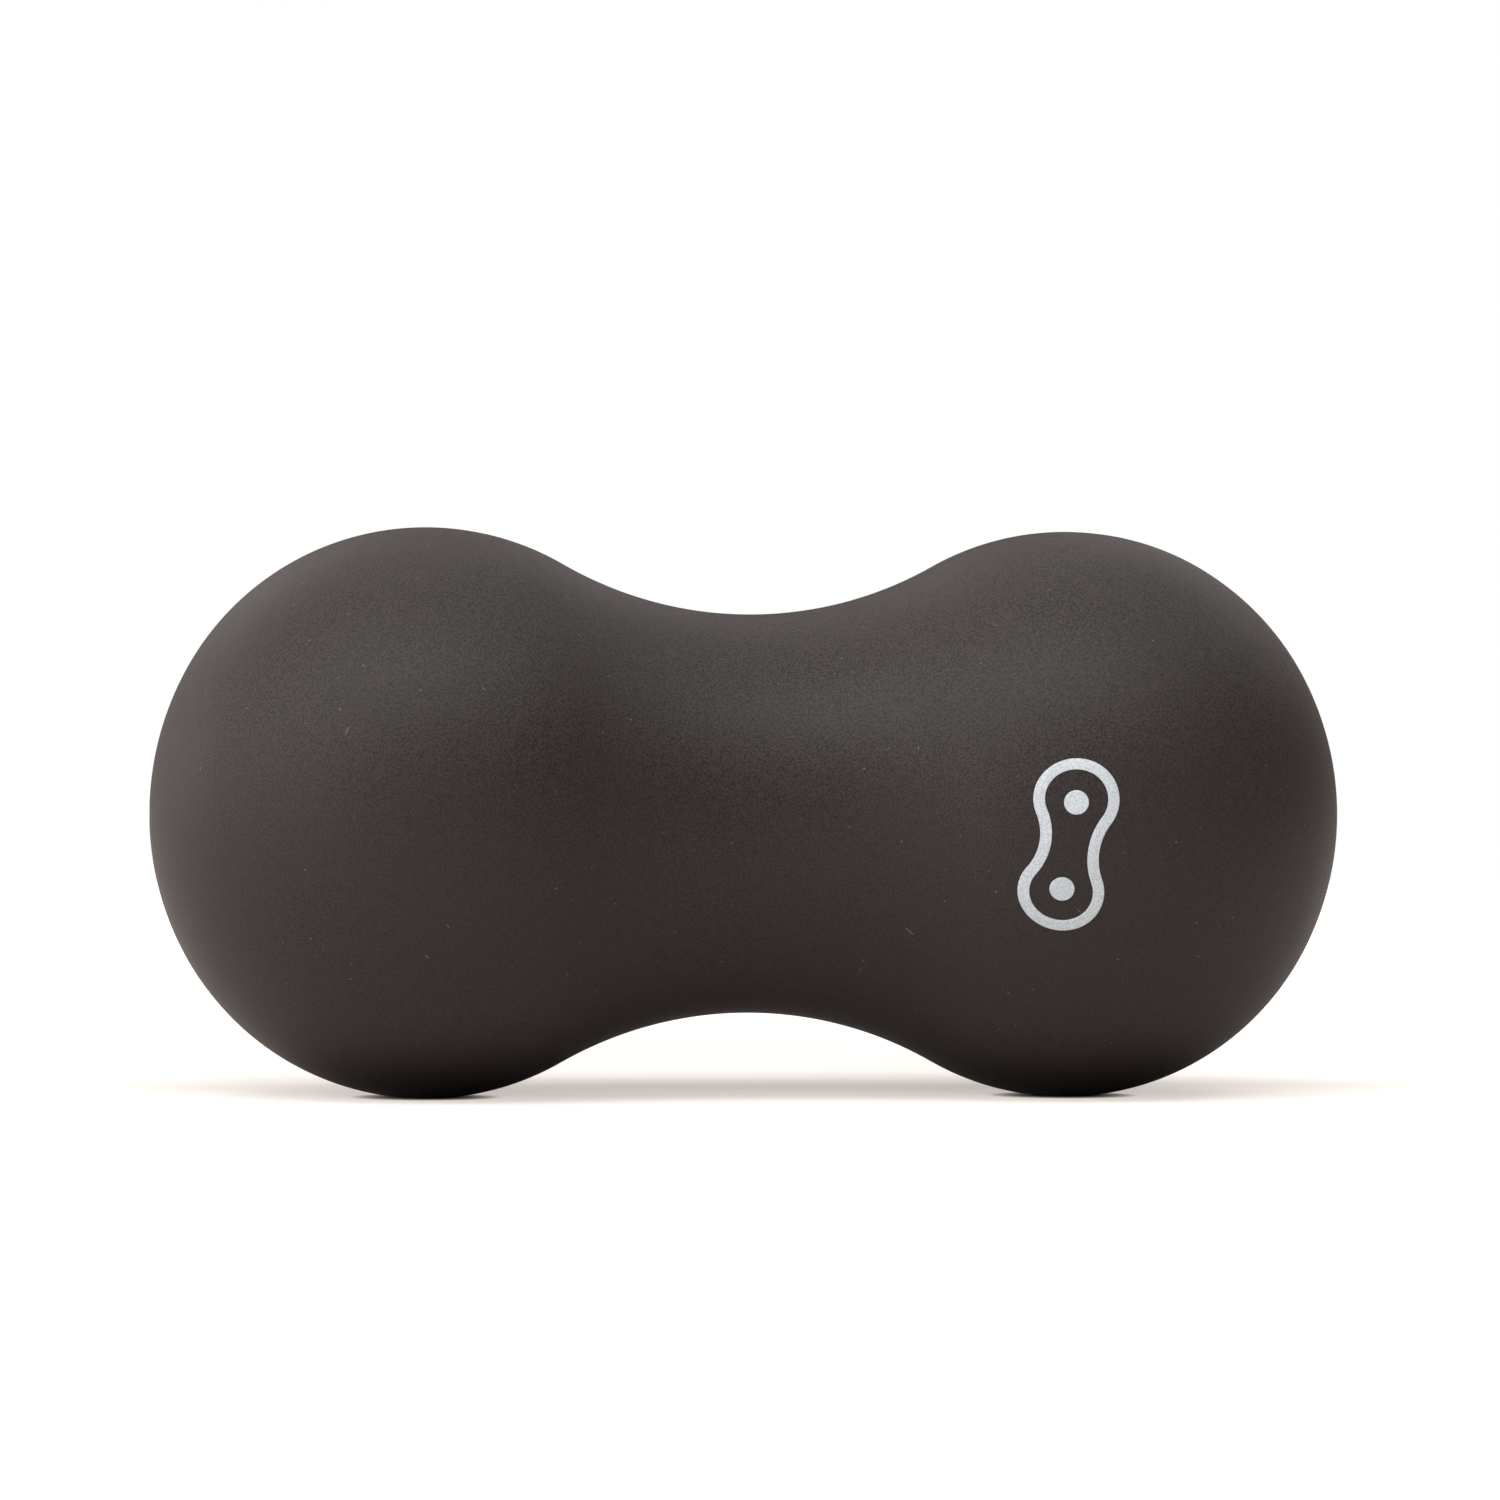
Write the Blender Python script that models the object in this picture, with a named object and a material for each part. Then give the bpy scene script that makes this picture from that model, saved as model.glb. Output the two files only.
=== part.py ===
"""Double massage ball: a firm waisted core inside a silicone skin of two moulded halves, with a printed mark.

The ball is a body of revolution about its long axis, which lies along X. It rests on the plane z = 0 on a
small flattened patch under each lobe. Units are metres and +Z is up. The mark faces -Y, turned a little down.
"""

from math import atan2, cos, pi, radians, sin, sqrt

import bmesh
import bpy
from mathutils import Matrix, Vector

# Outer shape
BALL_LENGTH = 0.130
LOBE_DIAMETER = 0.062
WAIST_DIAMETER = 0.0435
CAP_RADIUS = 0.0325  # the blunt arc at each end, centred on the long axis
CAP_ANGLE = radians(30)  # how far that arc runs from the long axis

# Build-up
SKIN_THICKNESS = 0.006
PART_GAP = 0.0003  # between the two skin halves, and between skin and core
REST_FLAT_DEPTH = 0.00015  # how far the ball's own weight flattens each lobe
MARK_ROLL = radians(6)  # the whole ball is rolled so that its mark faces a little down

# Printed mark: the ball's own outline as a line, with a dot in each lobe
MARK_LENGTH = 0.0189
MARK_X = 0.0305  # middle of the mark along the ball
MARK_LEAN = radians(8)
LINE_WIDTH = 0.0012
DOT_DIAMETER = 0.0026
INK_GAP = 0.0001
INK_THICKNESS = 0.0002

# Fineness of the meshes
SKIN_SEGMENTS = 60  # around the long axis
CORE_SEGMENTS = 30
DOT_SEGMENTS = 20
CAP_STEPS = 3
END_SHOULDER_STEPS = 7  # from the end cap up to the lobe's crest
WAIST_SHOULDER_STEPS = 3  # from the crest down towards the waist
WAIST_STEPS = 3
MERGE_DISTANCE = 1e-6
SMOOTH_ANGLE = radians(30)

# Worked out from the dimensions above: three arcs that run into each other with no corner
LOBE_RADIUS = LOBE_DIAMETER / 2
WAIST_RADIUS = WAIST_DIAMETER / 2
CAP_X = BALL_LENGTH / 2 - CAP_RADIUS
SHOULDER_RADIUS = (LOBE_RADIUS - CAP_RADIUS * sin(CAP_ANGLE)) / (1 - sin(CAP_ANGLE))
SHOULDER_X = CAP_X + (CAP_RADIUS - SHOULDER_RADIUS) * cos(CAP_ANGLE)
SHOULDER_Y = (CAP_RADIUS - SHOULDER_RADIUS) * sin(CAP_ANGLE)
WAIST_DROP = WAIST_RADIUS - SHOULDER_Y
WAIST_ARC_RADIUS = (SHOULDER_X**2 + WAIST_DROP**2 - SHOULDER_RADIUS**2) / (2 * (SHOULDER_RADIUS - WAIST_DROP))
WAIST_ARC_Y = WAIST_RADIUS + WAIST_ARC_RADIUS
SHOULDER_END = atan2(WAIST_ARC_Y - SHOULDER_Y, -SHOULDER_X)
AXIS_HEIGHT = LOBE_RADIUS - REST_FLAT_DEPTH

# Colour, roughness
SKIN_FINISH = ((0.060, 0.053, 0.052), 0.62)
CORE_FINISH = ((0.030, 0.030, 0.032), 0.75)
INK_FINISH = ((0.62, 0.67, 0.71), 0.55)


def arc(centre_x, centre_y, radius, start, end, steps):
    """Points along an arc from start up to, but not including, end."""
    angles = [start + (end - start) * step / steps for step in range(steps)]
    return [(centre_x + radius * cos(angle), centre_y + radius * sin(angle)) for angle in angles]


def profile(inset=0.0):
    """The ball's profile from pole to pole as (x, distance from the axis), moved inwards by inset."""
    right = arc(CAP_X, 0, CAP_RADIUS - inset, 0, CAP_ANGLE, CAP_STEPS)
    shoulder = (SHOULDER_X, SHOULDER_Y, SHOULDER_RADIUS - inset)
    right += arc(*shoulder, CAP_ANGLE, pi / 2, END_SHOULDER_STEPS)
    right += arc(*shoulder, pi / 2, SHOULDER_END, WAIST_SHOULDER_STEPS)
    right += arc(0, WAIST_ARC_Y, WAIST_ARC_RADIUS + inset, SHOULDER_END - pi, -pi / 2, WAIST_STEPS)
    left = [(-x, y) for x, y in reversed(right)]
    return right + [(0, WAIST_RADIUS - inset)] + left


def material(name, finish):
    colour, roughness = finish
    made = bpy.data.materials.new(name)
    made.use_nodes = True
    shader = made.node_tree.nodes["Principled BSDF"]
    shader.inputs["Base Color"].default_value = (*colour, 1)
    shader.inputs["Roughness"].default_value = roughness
    shader.inputs["Metallic"].default_value = 0
    return made


def add_object(name, bm, finish, parent):
    """Turn a finished bmesh into a smooth-shaded object in the ball's own axes."""
    bmesh.ops.recalc_face_normals(bm, faces=bm.faces)
    mesh = bpy.data.meshes.new(name)
    bm.to_mesh(mesh)
    bm.free()
    mesh.shade_smooth()
    mesh.set_sharp_from_angle(angle=SMOOTH_ANGLE)
    mesh.materials.append(material(name, finish))
    made = bpy.data.objects.new(name, mesh)
    made.parent = parent
    bpy.context.scene.collection.objects.link(made)
    return made


def spin_about_axis(bm, geometry, angle, segments):
    bmesh.ops.spin(bm, geom=geometry, cent=(0, 0, 0), axis=(1, 0, 0), angle=angle, steps=segments)
    bmesh.ops.remove_doubles(bm, verts=bm.verts, dist=MERGE_DISTANCE)


def flatten_rest_patches(bm):
    """Cut the skin where it meets the plane that the ball rests on, leaving one flat patch on each lobe."""
    down = Matrix.Rotation(-MARK_ROLL, 3, "X") @ Vector((0, 0, -1))
    everything = bm.verts[:] + bm.edges[:] + bm.faces[:]
    bmesh.ops.bisect_plane(bm, geom=everything, plane_co=down * AXIS_HEIGHT, plane_no=down, clear_outer=True)
    bmesh.ops.holes_fill(bm, edges=[edge for edge in bm.edges if edge.is_boundary])


def skin_half(name, side, parent):
    """Half of the hollow skin, on the side of the parting plane that side (-1 front, +1 back) points to."""
    bm = bmesh.new()
    section = profile() + profile(SKIN_THICKNESS)[::-1]
    face = bm.faces.new([bm.verts.new((x, 0, y)) for x, y in section])
    spin_about_axis(bm, [face], -side * pi, SKIN_SEGMENTS // 2)
    for vert in bm.verts:
        if abs(vert.co.y) < MERGE_DISTANCE:
            vert.co.y = side * PART_GAP / 2
    if side < 0:
        flatten_rest_patches(bm)
    return add_object(name, bm, SKIN_FINISH, parent)


def core(name, parent):
    """The firm solid inside, one gap smaller than the hollow in the skin."""
    bm = bmesh.new()
    outline = [bm.verts.new((x, 0, y)) for x, y in profile(SKIN_THICKNESS + PART_GAP)]
    edges = [bm.edges.new(pair) for pair in zip(outline, outline[1:])]
    spin_about_axis(bm, outline + edges, 2 * pi, CORE_SEGMENTS)
    return add_object(name, bm, CORE_FINISH, parent)


def on_lobe(across, along, height):
    """Wrap a point of the flat mark, taken from the mark's middle, onto the right lobe's front."""
    x = MARK_X + across * cos(MARK_LEAN) + along * sin(MARK_LEAN)
    around = (along * cos(MARK_LEAN) - across * sin(MARK_LEAN)) / LOBE_RADIUS
    radius = SHOULDER_Y + sqrt(SHOULDER_RADIUS**2 - (x - SHOULDER_X) ** 2) + height
    return (x, -radius * cos(around), radius * sin(around))


def ink_ring(bm, outline, height):
    return [bm.verts.new(on_lobe(across, along, height)) for across, along in outline]


def join_rings(bm, first, second):
    """A strip of quads between two closed rings with the same number of points."""
    for index in range(len(first)):
        bm.faces.new((first[index - 1], first[index], second[index], second[index - 1]))


def closed_outline(inset, scale):
    """The ball's outline round both sides, scaled down, as (across, along)."""
    one_side = [(y * scale, x * scale) for x, y in profile(inset)]
    other_side = [(-across, along) for across, along in reversed(one_side[1:-1])]
    return one_side + other_side


def mark_outline(name, parent):
    """The printed line: a thin closed band in the shape of the ball's outline."""
    bm = bmesh.new()
    scale = MARK_LENGTH / BALL_LENGTH
    outer, inner = closed_outline(0, scale), closed_outline(LINE_WIDTH / scale, scale)
    levels = (INK_GAP, INK_GAP + INK_THICKNESS)
    under_outer, over_outer = [ink_ring(bm, outer, level) for level in levels]
    under_inner, over_inner = [ink_ring(bm, inner, level) for level in levels]
    rings = [under_outer, over_outer, over_inner, under_inner]
    for first, second in zip(rings, rings[1:] + rings[:1]):
        join_rings(bm, first, second)
    return add_object(name, bm, INK_FINISH, parent)


def mark_dot(name, lobe, parent):
    """A round dot of ink in one lobe of the mark: lobe is +1 for the upper one and -1 for the lower."""
    bm = bmesh.new()
    middle = lobe * CAP_X * MARK_LENGTH / BALL_LENGTH
    turns = [2 * pi * step / DOT_SEGMENTS for step in range(DOT_SEGMENTS)]
    radius = DOT_DIAMETER / 2
    outline = [(radius * cos(turn), middle + radius * sin(turn)) for turn in turns]
    under, over = [ink_ring(bm, outline, level) for level in (INK_GAP, INK_GAP + INK_THICKNESS)]
    join_rings(bm, under, over)
    bm.faces.new(under)
    bm.faces.new(over)
    bmesh.ops.triangulate(bm, faces=[face for face in bm.faces if len(face.verts) > 4])
    return add_object(name, bm, INK_FINISH, parent)


def build():
    for old in list(bpy.data.objects):
        bpy.data.objects.remove(old, do_unlink=True)
    centre = bpy.data.objects.new("ball_centre", None)
    centre.location = (0, 0, AXIS_HEIGHT)
    centre.rotation_euler = (MARK_ROLL, 0, 0)
    bpy.context.scene.collection.objects.link(centre)
    skin_half("front_skin_half", -1, centre)
    skin_half("back_skin_half", 1, centre)
    core("core", centre)
    mark_outline("mark_outline", centre)
    mark_dot("upper_mark_dot", 1, centre)
    mark_dot("lower_mark_dot", -1, centre)
    bpy.context.view_layer.update()


build()
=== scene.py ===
"""Looks of the double massage ball: silicone skin halves, firm core and printed mark, in a white studio.

The shapes repeat the design's own arcs on finer meshes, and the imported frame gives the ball's length.
Units are metres and +Z is up. The pieces are modelled in the ball's own axes: X along the ball, -Y to the
mark and the parting plane at y = 0. BALL_POSE then sets them on the floor, rolled as the ball lies.
"""

from math import asin, atan2, ceil, cos, pi, radians, sin, sqrt

import bmesh
import bpy
from mathutils import Matrix, Vector


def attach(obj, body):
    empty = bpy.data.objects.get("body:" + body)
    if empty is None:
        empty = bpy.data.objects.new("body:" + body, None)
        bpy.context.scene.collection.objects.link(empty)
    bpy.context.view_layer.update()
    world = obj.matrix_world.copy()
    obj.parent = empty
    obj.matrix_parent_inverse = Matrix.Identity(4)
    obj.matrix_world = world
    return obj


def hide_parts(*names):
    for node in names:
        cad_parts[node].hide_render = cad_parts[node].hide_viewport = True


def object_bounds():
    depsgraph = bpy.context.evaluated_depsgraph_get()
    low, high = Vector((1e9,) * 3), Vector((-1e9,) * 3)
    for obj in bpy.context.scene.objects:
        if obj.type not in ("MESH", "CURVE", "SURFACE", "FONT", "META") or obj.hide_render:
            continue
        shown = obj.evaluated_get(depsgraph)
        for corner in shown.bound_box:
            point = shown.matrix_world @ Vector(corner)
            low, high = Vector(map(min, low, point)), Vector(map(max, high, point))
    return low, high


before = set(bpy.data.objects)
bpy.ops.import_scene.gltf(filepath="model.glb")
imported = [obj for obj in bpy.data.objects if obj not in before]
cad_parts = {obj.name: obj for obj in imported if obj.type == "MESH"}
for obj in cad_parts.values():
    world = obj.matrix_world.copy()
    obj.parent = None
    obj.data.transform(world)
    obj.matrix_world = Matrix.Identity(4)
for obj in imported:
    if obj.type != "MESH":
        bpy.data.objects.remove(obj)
cad_low, cad_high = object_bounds()

# Driving dimensions, as in the design
LOBE_DIAMETER = 0.062
WAIST_DIAMETER = 0.0435
CAP_RADIUS = 0.0325
CAP_ANGLE = radians(30)
SKIN_THICKNESS = 0.006
CORE_CLEARANCE = 0.0003
REST_FLAT_DEPTH = 0.00015
MARK_ROLL = radians(6)
MARK_LENGTH = 0.0189
MARK_X = 0.0305
MARK_LEAN = radians(8)
LINE_WIDTH = 0.0012
DOT_DIAMETER = 0.0026

# Fine detail
SEAM_GAP = 0.00002  # hairline between the two skin halves
SEAM_EDGE = 0.00005  # rounding where each half turns into the hairline
BEAD_HEIGHT = 0.00004  # trimmed flash along the parting line
BEAD_HALF_WIDTH = 0.00034
BEAD_STEPS = 8
INK_LIFT = 0.000010  # underside of the ink film above the skin
INK_FILM = 0.000045
INK_EDGE = 0.00006  # width of the film's rounded edge
INK_EDGE_STEPS = 3
INK_WALL = 0.3  # share of the film's thickness that stands upright at its edge

# Fineness of the meshes
SKIN_STEP = 0.0009  # along the profile
SKIN_SEGMENTS = 108  # round each half
CORE_STEP = 0.0016
CORE_SEGMENTS = 96
MARK_STEP = 0.00022
DOT_SEGMENTS = 48
DOT_RINGS = 6
POLE_RADIUS = 1e-9  # rings smaller than this are a single point
SMOOTH_ANGLE = radians(50)  # edges sharper than this stay sharp

# Worked out from the dimensions above: three arcs that run into each other with no corner
BALL_LENGTH = cad_high.x - cad_low.x
LOBE_RADIUS = LOBE_DIAMETER / 2
WAIST_RADIUS = WAIST_DIAMETER / 2
CAP_X = BALL_LENGTH / 2 - CAP_RADIUS
SHOULDER_RADIUS = (LOBE_RADIUS - CAP_RADIUS * sin(CAP_ANGLE)) / (1 - sin(CAP_ANGLE))
SHOULDER_X = CAP_X + (CAP_RADIUS - SHOULDER_RADIUS) * cos(CAP_ANGLE)
SHOULDER_Y = (CAP_RADIUS - SHOULDER_RADIUS) * sin(CAP_ANGLE)
WAIST_DROP = WAIST_RADIUS - SHOULDER_Y
WAIST_ARC_RADIUS = (SHOULDER_X**2 + WAIST_DROP**2 - SHOULDER_RADIUS**2) / (2 * (SHOULDER_RADIUS - WAIST_DROP))
WAIST_ARC_Y = WAIST_RADIUS + WAIST_ARC_RADIUS
SHOULDER_END = atan2(WAIST_ARC_Y - SHOULDER_Y, -SHOULDER_X)
BALL_CENTRE = Vector((0, 0, LOBE_RADIUS - REST_FLAT_DEPTH))
BALL_POSE = Matrix.Translation(BALL_CENTRE) @ Matrix.Rotation(MARK_ROLL, 4, "X")

# Noise and flecks in the materials
NOISE_BLOB = 0.5  # size of a blob of noise, in the noise's own unit
NOISE_ROUGHNESS = 0.55  # how strong each finer layer of its detail is beside the one before
NOISE_RANGE = (0.3, 0.7)  # nearly all of its values lie in here
NOISE_MIDDLE = (0.35, 0.65)  # a narrower range, for patches with firmer edges
FLECK_EDGE = 0.35  # width of a fleck's soft edge, as a share of its radius

# Skin
SKIN_COLOUR = (0.0330, 0.0240, 0.0238)
SKIN_CLOUD_COLOUR = (0.0358, 0.0268, 0.0268)
SKIN_CLOUD_SIZE = 0.012
SKIN_CLOUD_DEPTH = 0.3
SKIN_ROUGHNESS = (0.53, 0.57)  # between the clouds and inside them
SKIN_IOR = 1.41
SKIN_SPECULAR = 0.42
SKIN_SHEEN = 0.12
SKIN_SHEEN_ROUGHNESS = 0.35
SKIN_SHEEN_TINT = (1, 0.85, 0.75)
GRAIN_SIZE = 0.00011
GRAIN_DEPTH = 0.78  # how much darker and lighter than the skin the grain gets, as a share of it
GRAIN_FACING = (-0.25, 1.0)  # Z of the surface's normal, from underneath to on top
GRAIN_PAINTED_LIGHT_CONTRAST = (0.38, 0.90)  # share of the grain's depth that shows, from underneath to on top: painted light, stronger where light falls from above
GRAIN_HEIGHT = 0.00004
GRAIN_ROUGHNESS = 0.03  # how much rougher and smoother than the skin the grain gets
DUST = (0.135, 0.127, 0.122)
DUST_SPACING = 0.0014  # of the places where there may be a speck or a fibre
SPECK_RADIUS = 0.00013
SPECK_SHARE = 0.4  # share of those places that hold a speck
LINT_RADIUS = 0.00009
LINT_SHARE = 0.5
LINT_LENGTH = 9  # times its width
LINT_TURNS = ((0, 0.7, 0), (0, -0.35, 0), (0, 2.0, 0.4))

# Core
CORE_DARK = (0.022, 0.022, 0.024)
CORE_LIGHT = (0.040, 0.039, 0.040)
CORE_MOTTLE_SIZE = 0.004
CORE_PIT_SIZE = 0.0006
CORE_PIT_DEPTH = 0.00006
CORE_ROUGHNESS = (0.68, 0.84)

# Ink
INK_DARK = (0.57, 0.615, 0.65)
INK_LIGHT = (0.77, 0.815, 0.85)
INK_SPECKLE_SIZE = 0.00011
INK_SPECKLE_RANGE = (0.32, 0.68)  # of the noise, from dark to light
INK_SPECKLE_HEIGHT = 0.000006
INK_WASH_SIZE = 0.0016
INK_WASH_DEPTH = 0.3
INK_ROUGHNESS = (0.46, 0.62)
INK_IOR = 1.48

# Floor
FLOOR_SIZE = 3.0
FLOOR_LIGHT = (0.70, 0.66, 0.63)
FLOOR_DARK = (0.68, 0.64, 0.61)
# Black that the floor shows to all but the camera near each lobe: painted shade on the ball's underside
FLOOR_SHADE_BLACK = (0, 0, 0)
FLOOR_MOTTLE_SIZE = 0.4
FLOOR_ROUGHNESS = 0.7
FLOOR_SPECULAR = 0.2
# Painted light: a glow on the floor that only the camera sees and that lights nothing, shaped to lift and
# move the ball's shadow
FLOOR_PAINTED_GLOW_COLOUR = (1.08, 1.0, 0.93)
FLOOR_GLOW_NEAR = (0.64, 0.27)  # painted glow that the camera sees on the floor, just in front of the ball and behind it
FLOOR_GLOW_TURN = (-0.012, 0.030)  # from where to where along Y it changes over
FLOOR_GLOW_FAR = 0.65
FLOOR_GLOW_SPREAD = (1.6, 0.5, 1)  # the ball's shadow is narrow along X and deep along Y
FLOOR_GLOW_REACH = (0.06, 0.19)  # from where to where, in distance so stretched, it changes to the far glow
FLOOR_CONTACT = 0.0010  # gap between ball and floor under which the glow is darkened: a painted contact shadow
FLOOR_REST_X = 0.0351  # how far along X from the middle each lobe stands
FLOOR_BOUNCE_REACH = (0.008, 0.023)  # how far from there the floor begins to throw light up, and does fully

# Camera, as angles and distances from the middle of the ball
CAMERA_DISTANCE = 0.750
CAMERA_HEIGHT = 0.035
CAMERA_YAW = radians(7.194)  # how far to the ball's left the camera stands
CAMERA_ROLL = radians(0.158)
CAMERA_LENS = 164.8  # millimetres
CAMERA_SHIFT = (0.0023, 0.0424)

# Soft lights: name, azimuth from the front towards +X and elevation in degrees, width and height in metres,
# and brightness
LIGHT_DISTANCE = 3.0
LIGHTS = (
    ("overhead_light", 0, 90, 2.6, 2.6, 0.9),
    ("high_front_light", -10, 56, 3.2, 1.3, 4.0),
    ("high_left_light", -72, 56, 1.9, 1.3, 1.9),
    ("high_right_light", 75, 56, 2.6, 1.2, 1.6),
    ("high_back_light", 180, 56, 2.0, 1.3, 1.1),
    ("left_key_light", -80, 33, 1.8, 1.3, 2.6),
    ("left_fill_light", -42, 33, 1.8, 1.2, 1.3),
    ("low_front_left_light", -60, 11, 1.8, 1.0, 2.6),
    ("low_back_left_light", -112, 11, 3.2, 1.0, 2.1),
    ("back_left_light", -148, 33, 2.0, 1.3, 1.5),
    ("back_right_light", 138, 33, 2.6, 1.3, 0.9),
)


# ---------------------------------------------------------------- materials


def node(tree, kind, inputs=None, **settings):
    """Add a shader node with its settings. An input is a number, some numbers or another node's output."""
    made = tree.nodes.new(kind)
    for key, value in settings.items():
        setattr(made, key, value)
    for key, value in (inputs or {}).items():
        if isinstance(value, bpy.types.NodeSocket):
            tree.links.new(value, made.inputs[key])
        else:
            made.inputs[key].default_value = value
    return made


def new_material(name):
    """A material with its node tree, its Principled shader and the place on the piece that it shades."""
    made = bpy.data.materials.new(name)
    made.use_nodes = True
    tree = made.node_tree
    place = node(tree, "ShaderNodeTexCoord").outputs["Object"]
    return made, tree, tree.nodes["Principled BSDF"], place


def noise(tree, place, size, detail=0.0):
    """Smooth noise with blobs of about the given size in metres."""
    settings = {"Vector": place, "Scale": NOISE_BLOB / size, "Detail": detail, "Roughness": NOISE_ROUGHNESS}
    return node(tree, "ShaderNodeTexNoise", settings).outputs["Fac"]


def remap(tree, value, low, high, to_low, to_high):
    """Take a value from one range to another along an S-curve, and hold it at the ends."""
    settings = {"Value": value, "From Min": low, "From Max": high, "To Min": to_low, "To Max": to_high}
    return node(tree, "ShaderNodeMapRange", settings, interpolation_type="SMOOTHSTEP").outputs["Result"]


def calculate(tree, operation, first, second):
    return node(tree, "ShaderNodeMath", {0: first, 1: second}, operation=operation).outputs["Value"]


def length(tree, vector):
    return node(tree, "ShaderNodeVectorMath", {0: vector}, operation="LENGTH").outputs["Value"]


def with_alpha(colour):
    """A colour of three numbers as the four that a shader takes. Another node's output stays as it is."""
    return colour if isinstance(colour, bpy.types.NodeSocket) else (*colour, 1)


def mix_colour(tree, amount, first, second):
    # The Mix node's sockets for numbers, vectors and colours share their names, so these go by index
    colour_a, colour_b, result = 6, 7, 2
    settings = {"Factor": amount, colour_a: with_alpha(first), colour_b: with_alpha(second)}
    return node(tree, "ShaderNodeMix", settings, data_type="RGBA").outputs[result]


def add_bump(tree, shader, height, depth):
    """Bump the shader's surface by a height from 0 to 1, times a depth in metres."""
    bump = node(tree, "ShaderNodeBump", {"Height": height, "Distance": depth, "Strength": 1.0})
    tree.links.new(bump.outputs["Normal"], shader.inputs["Normal"])


def flecks(tree, place, spacing, radius, share):
    """1 inside small round flecks and 0 elsewhere, with cells of the given spacing and one fleck in a share
    of them, of any size up to the given radius.
    """
    cells = node(tree, "ShaderNodeTexVoronoi", {"Vector": place, "Scale": 1 / spacing})
    chance = node(tree, "ShaderNodeSeparateColor", {"Color": cells.outputs["Color"]}).outputs["Red"]
    reach = remap(tree, chance, 1 - share, 1, 0, radius / spacing)
    inside = calculate(tree, "SUBTRACT", reach, cells.outputs["Distance"])
    return remap(tree, inside, 0, FLECK_EDGE * radius / spacing, 0, 1)


def lint_space(tree, place, turn):
    """The place turned and squeezed along one axis, so that round flecks become short straight fibres."""
    settings = {"Vector": place, "Rotation": turn, "Scale": (LINT_LENGTH, 1, 1)}
    return node(tree, "ShaderNodeMapping", settings, vector_type="TEXTURE").outputs["Vector"]


def skin_material():
    """Soft-touch silicone: nearly black, faintly warm, with a fine matt grain, dust and a soft sheen."""
    made, tree, shader, place = new_material("soft_touch_silicone")
    clouds = noise(tree, place, SKIN_CLOUD_SIZE, detail=2.0)
    grain = noise(tree, place, GRAIN_SIZE, detail=0.5)
    # Painted light: the grain shows most where the surface faces up, as if its fine glints were lit from
    # above
    facing = node(tree, "ShaderNodeTexCoord").outputs["Normal"]
    upwards = node(tree, "ShaderNodeSeparateXYZ", {"Vector": facing}).outputs["Z"]
    painted_light_contrast = remap(tree, upwards, *GRAIN_FACING, *GRAIN_PAINTED_LIGHT_CONTRAST)
    # It swings to both sides of the skin's colour, which is halfway between its dark and its light
    swing = calculate(tree, "MULTIPLY", remap(tree, grain, *NOISE_RANGE, -0.5, 0.5), painted_light_contrast)
    dark = [channel * (1 - GRAIN_DEPTH) for channel in SKIN_COLOUR]
    light = [channel * (1 + GRAIN_DEPTH) for channel in SKIN_COLOUR]
    tone = mix_colour(tree, calculate(tree, "ADD", swing, 0.5), dark, light)
    cloud_amount = remap(tree, clouds, *NOISE_MIDDLE, 0, SKIN_CLOUD_DEPTH)
    tone = mix_colour(tree, cloud_amount, tone, SKIN_CLOUD_COLOUR)
    tone = mix_colour(tree, flecks(tree, place, DUST_SPACING, SPECK_RADIUS, SPECK_SHARE), tone, DUST)
    for turn in LINT_TURNS:
        lint = flecks(tree, lint_space(tree, place, turn), DUST_SPACING, LINT_RADIUS, LINT_SHARE)
        tone = mix_colour(tree, lint, tone, DUST)
    tree.links.new(tone, shader.inputs["Base Color"])
    cloudy = remap(tree, clouds, *NOISE_RANGE, *SKIN_ROUGHNESS)
    grainy = remap(tree, grain, *NOISE_RANGE, -GRAIN_ROUGHNESS, GRAIN_ROUGHNESS)
    tree.links.new(calculate(tree, "ADD", grainy, cloudy), shader.inputs["Roughness"])
    add_bump(tree, shader, grain, GRAIN_HEIGHT)
    shader.inputs["IOR"].default_value = SKIN_IOR
    shader.inputs["Specular IOR Level"].default_value = SKIN_SPECULAR
    shader.inputs["Sheen Weight"].default_value = SKIN_SHEEN
    shader.inputs["Sheen Roughness"].default_value = SKIN_SHEEN_ROUGHNESS
    shader.inputs["Sheen Tint"].default_value = (*SKIN_SHEEN_TINT, 1)
    return made


def core_material():
    """Firm moulded rubber under the skin: dull, with a coarse mottle and shallow pits."""
    made, tree, shader, place = new_material("moulded_rubber")
    mottle = noise(tree, place, CORE_MOTTLE_SIZE, detail=3.0)
    pits = noise(tree, place, CORE_PIT_SIZE, detail=2.0)
    tone = mix_colour(tree, remap(tree, mottle, *NOISE_RANGE, 0, 1), CORE_DARK, CORE_LIGHT)
    tree.links.new(tone, shader.inputs["Base Color"])
    tree.links.new(remap(tree, pits, *NOISE_RANGE, *CORE_ROUGHNESS), shader.inputs["Roughness"])
    add_bump(tree, shader, pits, CORE_PIT_DEPTH)
    return made


def ink_material():
    """Pale screen-printed ink: a fine white and grey speckle where it settled into the skin's grain."""
    made, tree, shader, place = new_material("screen_ink")
    speckle = noise(tree, place, INK_SPECKLE_SIZE, detail=1.0)
    wash = noise(tree, place, INK_WASH_SIZE, detail=1.0)
    tone = mix_colour(tree, remap(tree, speckle, *INK_SPECKLE_RANGE, 0, 1), INK_DARK, INK_LIGHT)
    tone = mix_colour(tree, remap(tree, wash, *NOISE_MIDDLE, 0, INK_WASH_DEPTH), tone, INK_DARK)
    tree.links.new(tone, shader.inputs["Base Color"])
    tree.links.new(remap(tree, speckle, *NOISE_RANGE, *INK_ROUGHNESS), shader.inputs["Roughness"])
    add_bump(tree, shader, speckle, INK_SPECKLE_HEIGHT)
    shader.inputs["IOR"].default_value = INK_IOR
    return made


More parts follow.
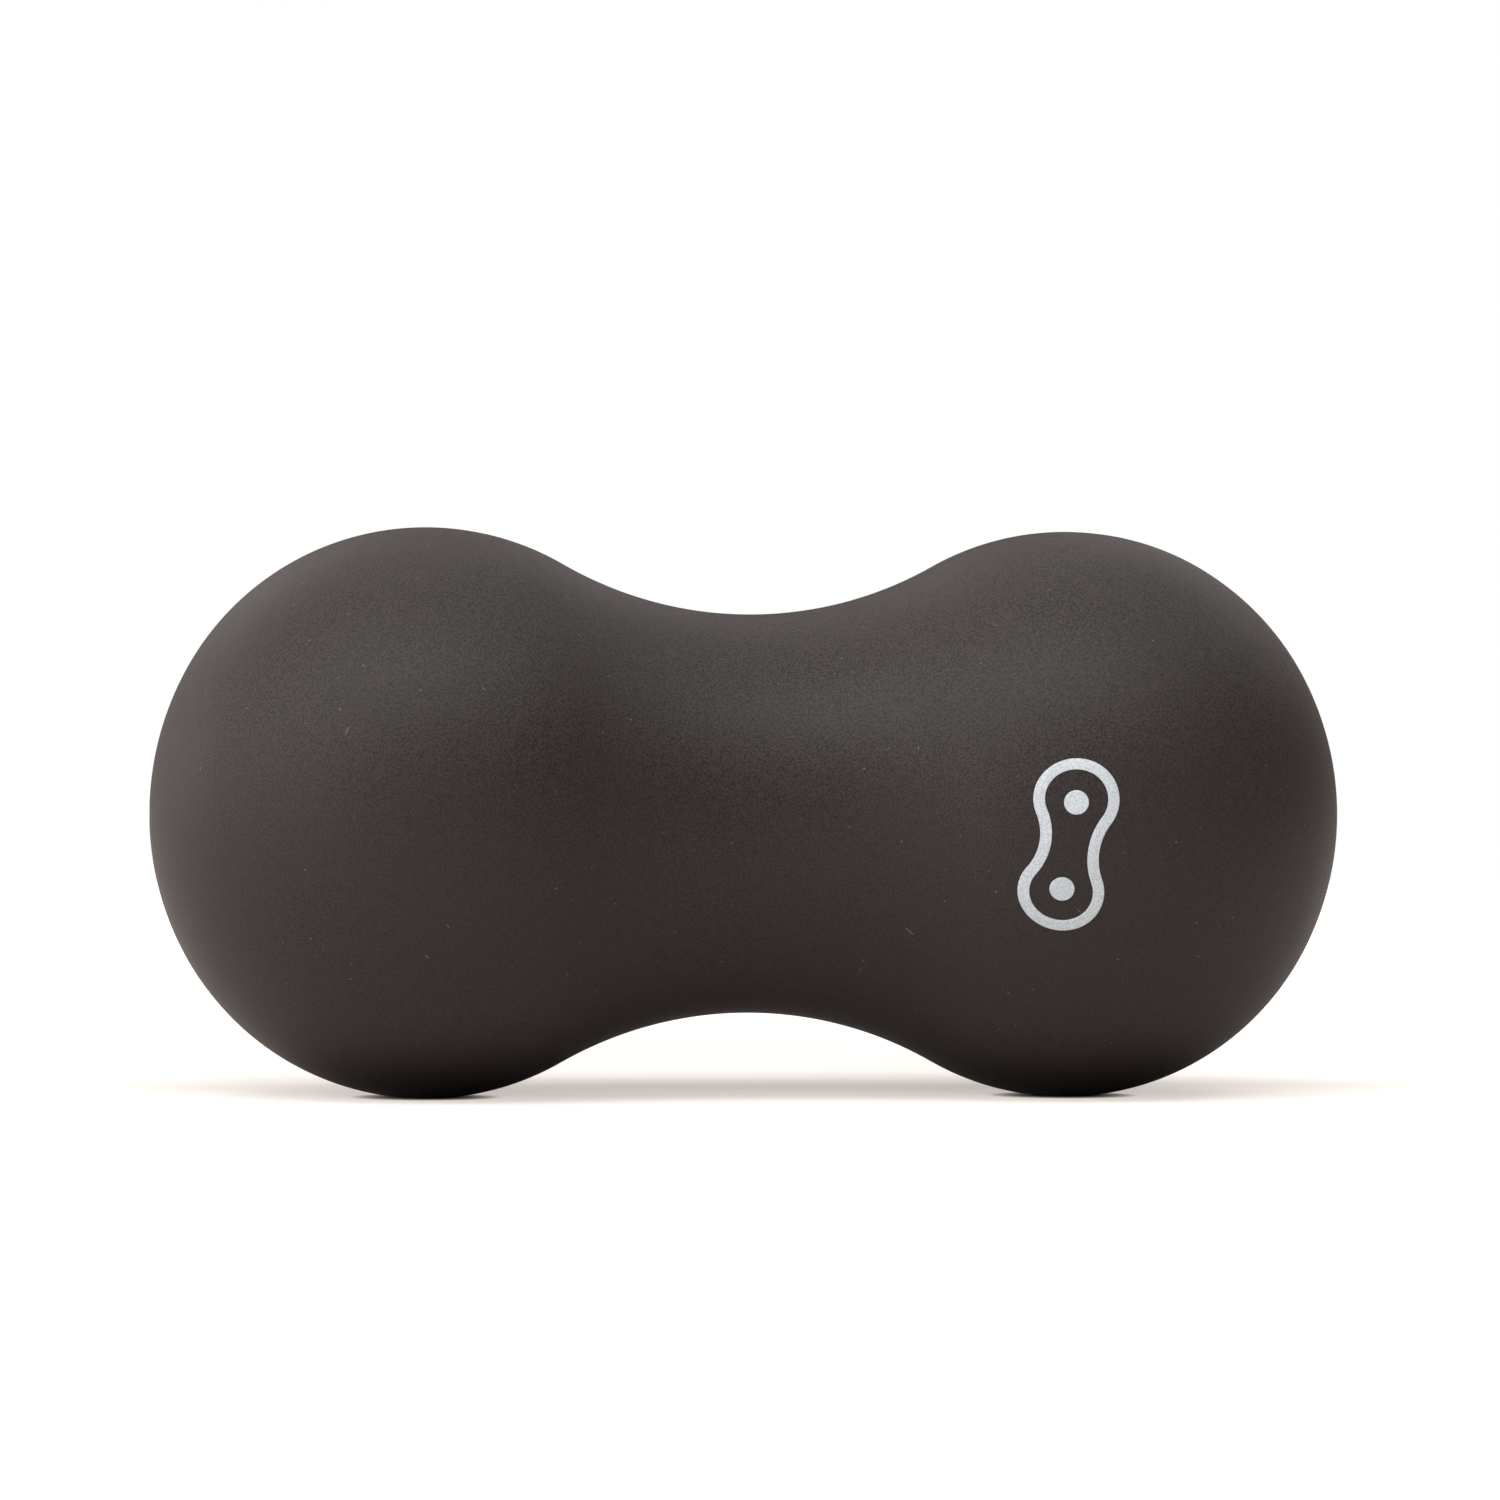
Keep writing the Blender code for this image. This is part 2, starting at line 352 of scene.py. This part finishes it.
def floor_material():
    """White table top with a painted glow that only the camera sees, so that the camera sees only faint
    shadows on it.
    """
    made, tree, shader, place = new_material("studio_floor")
    to_camera = node(tree, "ShaderNodeLightPath").outputs["Is Camera Ray"]
    spot = node(tree, "ShaderNodeSeparateXYZ", {"Vector": place}).outputs
    mottle = noise(tree, place, FLOOR_MOTTLE_SIZE, detail=1.0)
    tone = mix_colour(tree, mottle, FLOOR_DARK, FLOOR_LIGHT)
    # Painted shade: close to where a lobe stands the floor is black to all but the camera, so it throws no
    # light up and leaves the ball's underside dark
    beside = calculate(tree, "SUBTRACT", calculate(tree, "ABSOLUTE", spot["X"], 0), FLOOR_REST_X)
    from_rest = node(tree, "ShaderNodeCombineXYZ", {"X": beside, "Y": spot["Y"]}).outputs["Vector"]
    bounce = remap(tree, length(tree, from_rest), *FLOOR_BOUNCE_REACH, 0, 1)
    bounce = calculate(tree, "MAXIMUM", bounce, to_camera)
    tree.links.new(mix_colour(tree, bounce, FLOOR_SHADE_BLACK, tone), shader.inputs["Base Color"])
    shader.inputs["Roughness"].default_value = FLOOR_ROUGHNESS
    shader.inputs["Specular IOR Level"].default_value = FLOOR_SPECULAR
    # Painted light: a glow that only the camera sees and that lights nothing, with a painted contact shadow
    # where the ball nearly touches the floor
    near = remap(tree, spot["Y"], *FLOOR_GLOW_TURN, *FLOOR_GLOW_NEAR)
    spread = {"Vector": place, "Scale": FLOOR_GLOW_SPREAD}
    stretched = node(tree, "ShaderNodeMapping", spread).outputs["Vector"]
    painted_glow_strength = remap(tree, length(tree, stretched), *FLOOR_GLOW_REACH, near, FLOOR_GLOW_FAR)
    painted_contact_shadow_mask = node(tree, "ShaderNodeAmbientOcclusion", {"Distance": FLOOR_CONTACT}).outputs["AO"]
    strength = calculate(tree, "MULTIPLY", to_camera, calculate(tree, "MULTIPLY", painted_glow_strength, painted_contact_shadow_mask))
    glow = node(tree, "ShaderNodeEmission", {"Color": (*FLOOR_PAINTED_GLOW_COLOUR, 1), "Strength": strength})
    both = node(tree, "ShaderNodeAddShader", {0: shader.outputs["BSDF"], 1: glow.outputs["Emission"]})
    tree.links.new(both.outputs["Shader"], tree.nodes["Material Output"].inputs["Surface"])
    return made


# ---------------------------------------------------------------- shapes


def profile(inset, step):
    """The ball's profile from pole to pole as (x, distance from the axis), moved inwards by inset.

    Its points are about one step apart on the outer surface, and inset doesn't change their number.
    """

    def arc(centre_x, centre_y, radius, offset, start, end):
        count = ceil(abs(end - start) * radius / step)
        angles = [start + (end - start) * index / count for index in range(count)]
        reach = radius + offset
        return [(centre_x + reach * cos(angle), centre_y + reach * sin(angle)) for angle in angles]

    right = arc(CAP_X, 0, CAP_RADIUS, -inset, 0, CAP_ANGLE)
    right += arc(SHOULDER_X, SHOULDER_Y, SHOULDER_RADIUS, -inset, CAP_ANGLE, SHOULDER_END)
    right += arc(0, WAIST_ARC_Y, WAIST_ARC_RADIUS, inset, SHOULDER_END - pi, -pi / 2)
    left = [(-x, y) for x, y in reversed(right)]
    return right + [(0, WAIST_RADIUS - inset)] + left


def add_piece(name, bm, material, slot, *cad_nodes):
    """Turn a finished bmesh in the ball's own axes into a smooth piece that stands for its CAD nodes.

    What would reach below the floor is flattened on it.
    """
    bmesh.ops.recalc_face_normals(bm, faces=bm.faces)
    bmesh.ops.transform(bm, matrix=BALL_POSE, verts=bm.verts)
    for vert in bm.verts:
        vert.co.z = max(vert.co.z, 0)
    mesh = bpy.data.meshes.new(name)
    bm.to_mesh(mesh)
    bm.free()
    mesh.shade_smooth()
    mesh.set_sharp_from_angle(angle=SMOOTH_ANGLE)
    mesh.materials.append(material)
    piece = bpy.data.objects.new(name, mesh)
    bpy.context.scene.collection.objects.link(piece)
    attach(piece, "root")
    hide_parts(*cad_nodes)


def full_turn(_radius):
    """Angles all the way round the core, the same for every ring."""
    return [2 * pi * index / CORE_SEGMENTS for index in range(CORE_SEGMENTS)]


def half_turn(radius, closest=0.0):
    """Angles from one side of a half to the other, starting a closest distance from the parting plane."""
    start = asin(closest / radius)
    return [start + (pi - 2 * start) * index / SKIN_SEGMENTS for index in range(SKIN_SEGMENTS + 1)]


def beaded_half_turn(radius):
    """As half_turn, with more angles within the bead's width of the parting line, closest at the line."""
    distances = [SEAM_GAP / 2 + BEAD_HALF_WIDTH * (step / BEAD_STEPS) ** 2 for step in range(BEAD_STEPS + 1)]
    beside = [asin(distance / radius) for distance in distances[:-1]]
    return beside + half_turn(radius, distances[-1]) + [pi - angle for angle in reversed(beside)]


def turned_grid(bm, outline, side, angles_at):
    """Turn an outline about the long axis, from +Z round towards the given side. Each row is one ring."""
    rows = []
    for x, radius in outline:
        if radius < POLE_RADIUS:
            rows.append([bm.verts.new((x, 0, 0))])
            continue
        places = [(x, side * radius * sin(angle), radius * cos(angle)) for angle in angles_at(radius)]
        rows.append([bm.verts.new(place) for place in places])
    return rows


def fill_grid(bm, rows, closed=False):
    """Faces between neighbouring rings, with triangles at the two poles."""
    for first, second in zip(rows, rows[1:]):
        count = max(len(first), len(second))
        for index in range(count if closed else count - 1):
            after = (index + 1) % count
            if len(first) == 1:
                bm.faces.new((first[0], second[index], second[after]))
            elif len(second) == 1:
                bm.faces.new((first[index], second[0], first[after]))
            else:
                bm.faces.new((first[index], second[index], second[after], first[after]))


def join_rings(bm, first, second):
    """A strip of faces between two closed rings with the same number of points."""
    for index in range(len(first)):
        bm.faces.new((first[index - 1], first[index], second[index], second[index - 1]))


def edge_loop(rows):
    """The border of an open half: down one side of the rows and back up the other."""
    return [row[0] for row in rows] + [row[-1] for row in rows[-2:0:-1]]


def bead(distance):
    """Height of the parting line's trimmed flash above the skin, at a distance from the parting plane."""
    height = 0.0
    if distance < BEAD_HALF_WIDTH:
        height += BEAD_HEIGHT * cos(pi / 2 * distance / BEAD_HALF_WIDTH) ** 2
    if distance < SEAM_EDGE:
        height -= SEAM_EDGE - sqrt(SEAM_EDGE**2 - (SEAM_EDGE - distance) ** 2)
    return height


def shape_parting_line(bm):
    """Raise the bead beside the parting line and round the edge where it turns into the line."""
    bm.normal_update()
    for vert in bm.verts:
        outwards = vert.normal if vert.normal.dot(vert.co) > 0 else -vert.normal
        rise = bead(max(abs(vert.co.y) - SEAM_GAP / 2, 0))
        vert.co += Vector((outwards.x, 0, outwards.z)) * rise


def skin_half(name, side, material, cad_node):
    """One moulded half of the hollow skin: side is -1 for the front and +1 for the back."""
    bm = bmesh.new()
    outer = turned_grid(bm, profile(0, SKIN_STEP), side, beaded_half_turn)
    fill_grid(bm, outer)
    shape_parting_line(bm)
    inner = turned_grid(bm, profile(SKIN_THICKNESS, SKIN_STEP), side, half_turn)
    fill_grid(bm, inner)
    outer_edge, inner_edge = edge_loop(outer), edge_loop(inner)
    for vert in outer_edge + inner_edge:
        vert.co.y = side * SEAM_GAP / 2
    join_rings(bm, outer_edge, inner_edge)
    add_piece(name, bm, material, "silicone_skin", cad_node)


def core(name, material, cad_node):
    bm = bmesh.new()
    outline = profile(SKIN_THICKNESS + CORE_CLEARANCE, CORE_STEP)
    fill_grid(bm, turned_grid(bm, outline, 1, full_turn), closed=True)
    add_piece(name, bm, material, "firm_core", cad_node)


def on_lobe(across, along, height):
    """Wrap a point of the flat mark, taken from the mark's middle, onto the right lobe's front."""
    x = MARK_X + across * cos(MARK_LEAN) + along * sin(MARK_LEAN)
    around = (along * cos(MARK_LEAN) - across * sin(MARK_LEAN)) / LOBE_RADIUS
    radius = SHOULDER_Y + sqrt(SHOULDER_RADIUS**2 - (x - SHOULDER_X) ** 2) + height
    return (x, -radius * cos(around), radius * sin(around))


def ink_ring(bm, outline, height):
    return [bm.verts.new(on_lobe(across, along, height)) for across, along in outline]


def edge_rounding():
    """The film's edge as (distance in from the edge, height above the skin), from its wall upwards."""
    wall, rounding = INK_FILM * INK_WALL, INK_FILM * (1 - INK_WALL)
    turns = [pi / 2 * step / INK_EDGE_STEPS for step in range(INK_EDGE_STEPS + 1)]
    return [(INK_EDGE * (1 - cos(turn)), INK_LIFT + wall + rounding * sin(turn)) for turn in turns]


def closed_outline(inset):
    """The mark's outline, the ball's own scaled down, moved in by inset, as (across, along)."""
    scale = MARK_LENGTH / BALL_LENGTH
    one_side = [(y * scale, x * scale) for x, y in profile(inset / scale, MARK_STEP / scale)]
    other_side = [(-across, along) for across, along in reversed(one_side[1:-1])]
    return one_side + other_side


def mark_outline(name, material, cad_node):
    """The printed line: a thin closed film in the shape of the ball's outline."""
    bm = bmesh.new()
    edge = [(0, INK_LIFT)] + edge_rounding()
    section = edge + [(LINE_WIDTH - inset, height) for inset, height in reversed(edge)]
    rings = [ink_ring(bm, closed_outline(inset), height) for inset, height in section]
    for first, second in zip(rings, rings[1:] + rings[:1]):
        join_rings(bm, first, second)
    add_piece(name, bm, material, "printed_ink", cad_node)


def mark_dot(name, lobe, material, cad_node):
    """A round dot of ink in one lobe of the mark: lobe is +1 for the upper one and -1 for the lower."""
    bm = bmesh.new()
    middle = lobe * CAP_X * MARK_LENGTH / BALL_LENGTH
    radius = DOT_DIAMETER / 2
    edge = [(radius, INK_LIFT)] + [(radius - inset, height) for inset, height in edge_rounding()]
    inner, top = edge[-1]
    edge += [(inner * (1 - ring / DOT_RINGS), top) for ring in range(1, DOT_RINGS)]
    turns = [2 * pi * step / DOT_SEGMENTS for step in range(DOT_SEGMENTS)]
    rings = []
    for reach, height in edge:
        outline = [(reach * cos(turn), middle + reach * sin(turn)) for turn in turns]
        rings.append(ink_ring(bm, outline, height))
    for first, second in zip(rings, rings[1:]):
        join_rings(bm, first, second)
    for ring, height in ((rings[-1], top), (rings[0], INK_LIFT)):
        centre = bm.verts.new(on_lobe(0, middle, height))
        for index in range(len(ring)):
            bm.faces.new((ring[index - 1], ring[index], centre))
    add_piece(name, bm, material, "printed_ink", cad_node)


# ---------------------------------------------------------------- studio


def studio_floor(name):
    bm = bmesh.new()
    bmesh.ops.create_grid(bm, x_segments=1, y_segments=1, size=FLOOR_SIZE / 2)
    mesh = bpy.data.meshes.new(name)
    bm.to_mesh(mesh)
    bm.free()
    mesh.materials.append(floor_material())
    floor = bpy.data.objects.new(name, mesh)
    bpy.context.scene.collection.objects.link(floor)


def direction(azimuth, elevation):
    """Unit vector from the ball. Azimuth is in radians from the -Y side towards +X."""
    flat = cos(elevation)
    return Vector((sin(azimuth) * flat, -cos(azimuth) * flat, sin(elevation)))


def soft_light(name, azimuth, elevation, width, height, brightness):
    """A rectangular soft box that faces the ball and that the camera doesn't see."""
    data = bpy.data.lights.new(name, "AREA")
    data.shape = "RECTANGLE"
    data.size = width
    data.size_y = height
    data.energy = brightness * pi * width * height
    light = bpy.data.objects.new(name, data)
    away = direction(radians(azimuth), radians(elevation))
    light.location = BALL_CENTRE + away * LIGHT_DISTANCE
    light.rotation_euler = (-away).to_track_quat("-Z", "Y").to_euler()
    light.visible_camera = False
    bpy.context.scene.collection.objects.link(light)


def white_backdrop():
    """White behind the ball for the camera, with no light of its own."""
    world = bpy.data.worlds.new("white_backdrop")
    world.use_nodes = True
    tree = world.node_tree
    background = tree.nodes["Background"]
    background.inputs["Color"].default_value = (1, 1, 1, 1)
    tree.links.new(node(tree, "ShaderNodeLightPath").outputs["Is Camera Ray"], background.inputs["Strength"])
    bpy.context.scene.world = world


def camera():
    data = bpy.data.cameras.new("camera")
    data.lens = CAMERA_LENS
    data.shift_x, data.shift_y = CAMERA_SHIFT
    made = bpy.data.objects.new("camera", data)
    above = asin((CAMERA_HEIGHT - BALL_CENTRE.z) / CAMERA_DISTANCE)
    away = direction(-CAMERA_YAW, above)
    made.location = BALL_CENTRE + away * CAMERA_DISTANCE
    aim = (-away).to_track_quat("-Z", "Y").to_matrix()
    made.rotation_euler = (aim @ Matrix.Rotation(CAMERA_ROLL, 3, "Z")).to_euler()
    bpy.context.scene.collection.objects.link(made)
    bpy.context.scene.camera = made


skin, ink = skin_material(), ink_material()
skin_half("front_skin", -1, skin, "front_skin_half")
skin_half("back_skin", 1, skin, "back_skin_half")
core("ball_core", core_material(), "core")
mark_outline("printed_outline", ink, "mark_outline")
mark_dot("printed_upper_dot", 1, ink, "upper_mark_dot")
mark_dot("printed_lower_dot", -1, ink, "lower_mark_dot")
studio_floor("studio_floor")
for settings in LIGHTS:
    soft_light(*settings)
white_backdrop()
camera()
bpy.context.scene.view_settings.view_transform = "Standard"
